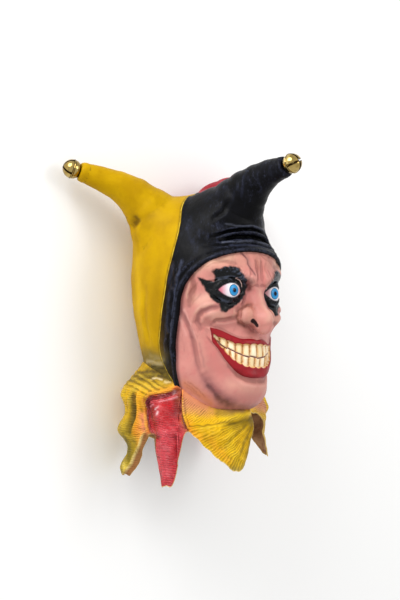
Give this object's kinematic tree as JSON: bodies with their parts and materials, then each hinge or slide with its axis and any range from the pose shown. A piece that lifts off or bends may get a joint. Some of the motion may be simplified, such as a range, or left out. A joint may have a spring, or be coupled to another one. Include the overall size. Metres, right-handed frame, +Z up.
{
  "type": "latex clown mask",
  "caption": "Over-head latex jester mask with a grinning painted face, a hood with three horns, brass bells and a ragged collar, lying on its back.",
  "frame": {"origin": "on the floor, under the middle of the mask's box", "axes": "+Z up, out of the face, which looks up; +Y towards the crown; +X to the wearer's left"},
  "size_m": [0.3392, 0.3964, 0.2559],
  "materials": {
    "latex": "painted latex, satin",
    "bell": "polished"
  },
  "bodies": {
    "root": {"latex_mask": "latex", "bell_front_horn": "bell", "bell_right_horn": "bell", "bell_left_horn": "bell"}
  },
  "joints": []
}
